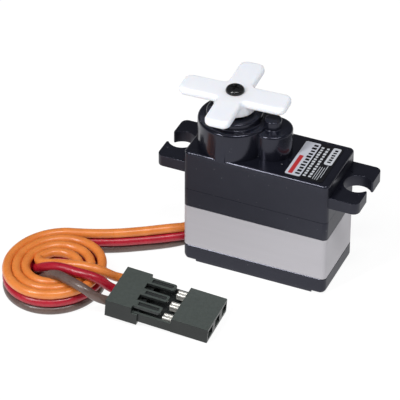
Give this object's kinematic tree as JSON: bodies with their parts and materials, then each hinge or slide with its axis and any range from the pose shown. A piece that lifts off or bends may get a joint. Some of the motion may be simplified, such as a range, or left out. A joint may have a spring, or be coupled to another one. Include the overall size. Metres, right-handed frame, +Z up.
{
  "type": "servo motor",
  "caption": "Micro servo motor with lugged case, geared output shaft, four-arm horn and a coiled three-wire lead ending in a plug.",
  "frame": {"origin": "middle of the bottom cover's flat face", "axes": "+X along the case from the output shaft's end to the motor's end, +Y to the back, +Z up along the output shaft"},
  "size_m": [0.0445, 0.0314, 0.0261],
  "materials": {
    "black_plastic": "glossy black",
    "aluminium": "satin, bare",
    "steel": "bright",
    "black_steel": "black oxide",
    "brass": "machined",
    "gear_nylon": "moulded nylon",
    "white_nylon": "satin moulded nylon",
    "end_cap_nylon": "moulded nylon",
    "label": "printed foil",
    "black_rubber": "matte",
    "magnet": "sintered ferrite",
    "copper": "copper segments",
    "track_board": "phenolic board",
    "circuit_board": "green solder mask",
    "chip": "moulded epoxy",
    "resonator": "coated ceramic",
    "capacitor": "moulded body",
    "orange_insulation": "satin PVC",
    "red_insulation": "satin PVC",
    "brown_insulation": "satin PVC",
    "plug_plastic": "satin black",
    "gold_plate": "gold plated"
  },
  "bodies": {
    "case": {"upper_case": "black_plastic", "gear_base": "black_plastic", "heat_sink_case": "aluminium", "bottom_cover": "black_plastic", "case_screw_1": "steel", "case_screw_2": "steel", "case_screw_3": "steel", "case_screw_4": "steel", "rating_label": "label", "cable_grommet": "black_rubber", "bearing_outer_race": "steel", "bearing_shield_lower": "steel", "bearing_shield_upper": "steel", "lower_bush": "brass", "idler_shaft": "steel", "motor_can": "steel", "motor_screw_1": "steel", "motor_screw_2": "steel", "motor_magnet_1": "magnet", "motor_magnet_2": "magnet", "motor_end_cap": "end_cap_nylon", "motor_terminal_1": "brass", "motor_terminal_2": "brass", "potentiometer_housing": "steel", "potentiometer_track": "track_board", "control_board": "circuit_board", "controller_chip": "chip", "motor_driver_chip": "chip", "resonator": "resonator", "board_capacitor": "capacitor", "cable_coil": "orange_insulation", "lead_signal": "orange_insulation", "tail_signal": "orange_insulation", "lead_power": "red_insulation", "tail_power": "red_insulation", "lead_ground": "brown_insulation", "tail_ground": "brown_insulation", "plug_housing": "plug_plastic", "plug_contact_1": "gold_plate", "plug_contact_2": "gold_plate", "plug_contact_3": "gold_plate"},
    "output": {"output_shaft": "steel", "output_gear": "brass", "horn": "white_nylon", "horn_screw": "black_steel", "bearing_inner_race": "steel", "potentiometer_shaft": "steel", "potentiometer_wiper": "brass"},
    "third_gear_set": {"third_gear": "brass"},
    "second_gear_set": {"second_gear": "gear_nylon"},
    "first_gear_set": {"first_gear": "gear_nylon"},
    "rotor": {"motor_armature": "steel", "motor_commutator": "copper", "motor_shaft": "steel", "motor_pinion": "brass"},
    "ball_cage": {"bearing_cage_with_balls": "brass"}
  },
  "joints": [
    {"name": "output_turn", "type": "hinge", "parent": "case", "child": "output", "pos_m": [-0.00495, 0, 0.022], "axis": [0, 0, 1], "range_deg": [-90, 90]},
    {"name": "third_gear_turn", "type": "hinge", "parent": "case", "child": "third_gear_set", "pos_m": [0.00045, 0, 0.017], "axis": [0, 0, 1], "range_deg": [-210, 210]},
    {"name": "second_gear_turn", "type": "hinge", "parent": "case", "child": "second_gear_set", "pos_m": [-0.00495, 0, 0.0145], "axis": [0, 0, 1], "range_deg": [-470, 470]},
    {"name": "first_gear_turn", "type": "hinge", "parent": "case", "child": "first_gear_set", "pos_m": [0.00045, 0, 0.013], "axis": [0, 0, 1], "range_deg": [-1060, 1060]},
    {"name": "rotor_turn", "type": "hinge", "parent": "case", "child": "rotor", "pos_m": [0.00458, 0, 0.0085], "axis": [0, 0, 1], "range_deg": [-2820, 2820]},
    {"name": "ball_cage_turn", "type": "hinge", "parent": "case", "child": "ball_cage", "pos_m": [-0.00495, 0, 0.0205], "axis": [0, 0, 1], "range_deg": [-40, 40]}
  ],
  "couplings": [
    {"joint": "third_gear_turn", "follows": "output_turn", "ratio": -2.2727},
    {"joint": "second_gear_turn", "follows": "output_turn", "ratio": 5.1653},
    {"joint": "first_gear_turn", "follows": "output_turn", "ratio": -11.739},
    {"joint": "rotor_turn", "follows": "output_turn", "ratio": 31.305},
    {"joint": "ball_cage_turn", "follows": "output_turn", "ratio": 0.427}
  ]
}
